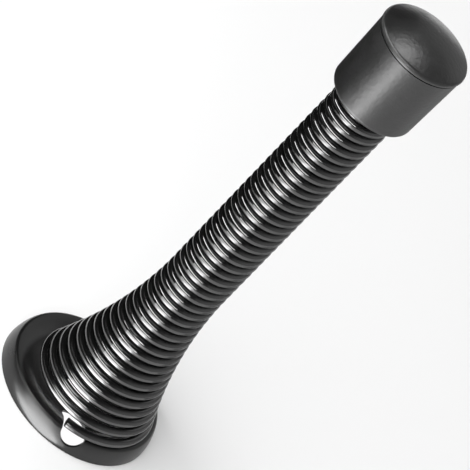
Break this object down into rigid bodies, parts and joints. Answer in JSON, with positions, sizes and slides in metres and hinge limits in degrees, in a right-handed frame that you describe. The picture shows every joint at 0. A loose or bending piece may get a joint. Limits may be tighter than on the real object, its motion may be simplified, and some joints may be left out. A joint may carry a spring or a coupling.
{
  "type": "spring door stop",
  "caption": "Wall-mounted door stop: a flared black coil spring on a round dished base plate with a screw hole and slot, ending in a domed rubber tip.",
  "frame": {"origin": "centre of the base plate's back face, on the wall", "axes": "+Z along the stop from the wall to the door, +X towards the side where the spring's foot is offset, -Y towards the viewer of the picture"},
  "size_m": [0.0254, 0.0254, 0.0844],
  "materials": {
    "base_plate": "satin black paint",
    "spring": "gloss black coating",
    "rubber_tip": "matte moulded rubber"
  },
  "bodies": {
    "root": {"base_plate": "base_plate", "spring": "spring", "rubber_tip": "rubber_tip"}
  },
  "joints": []
}
